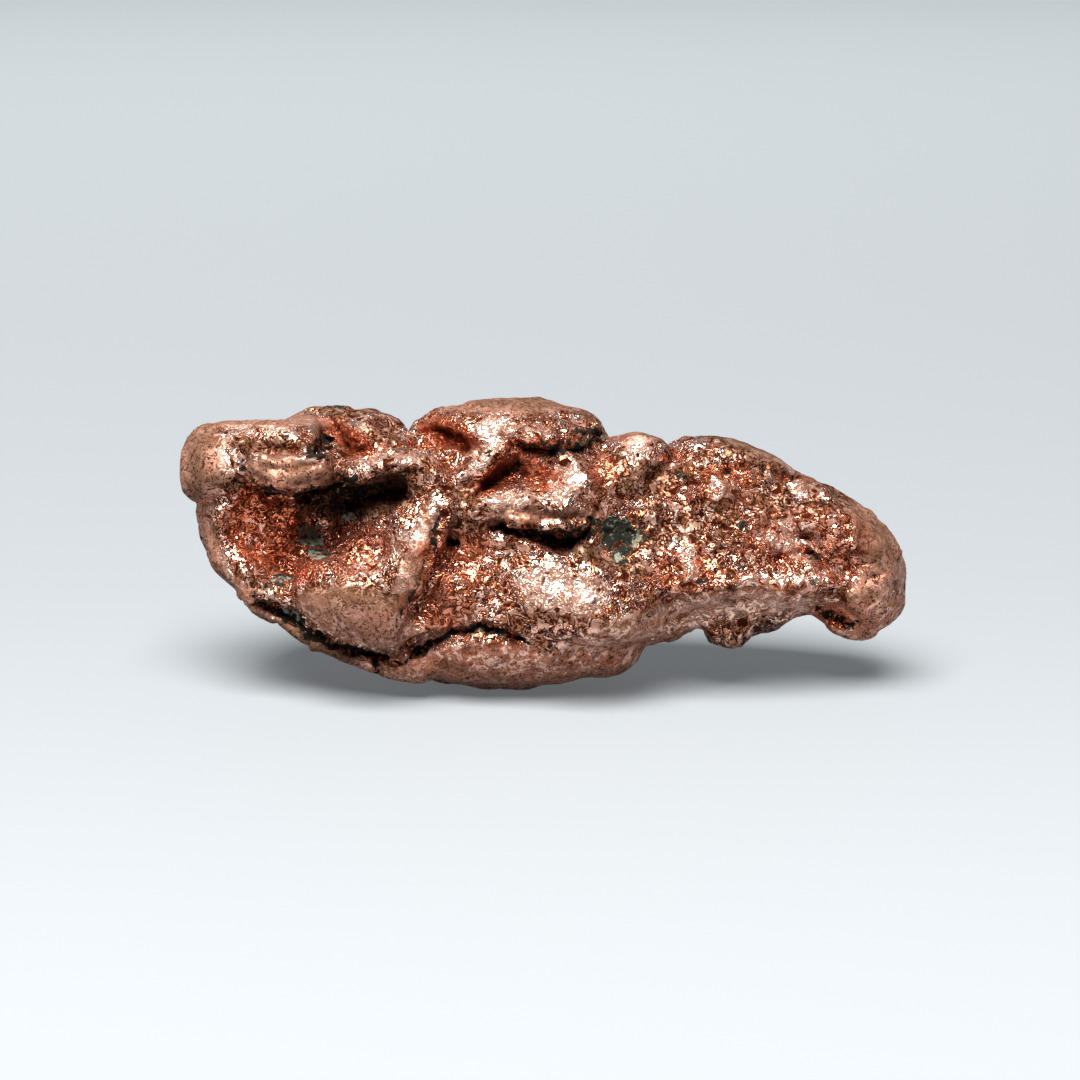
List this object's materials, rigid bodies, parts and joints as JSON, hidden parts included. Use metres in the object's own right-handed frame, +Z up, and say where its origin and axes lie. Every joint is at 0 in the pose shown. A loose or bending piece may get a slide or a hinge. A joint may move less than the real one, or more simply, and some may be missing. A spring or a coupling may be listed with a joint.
{
  "type": "copper nugget",
  "caption": "Elongated native copper nugget, a folded and rounded lump of bare metal with a deep hollow, ledges and pits, resting on its belly.",
  "frame": {"origin": "on the ground under the middle of the nugget's box", "axes": "+X along the nugget's length towards its narrow drooping end, +Y from its pitted face to its back, +Z up from the worn flat that it rests on"},
  "size_m": [0.0726, 0.0248, 0.029],
  "materials": {
    "native_copper": null
  },
  "bodies": {
    "root": {"copper_nugget": "native_copper"}
  },
  "joints": []
}
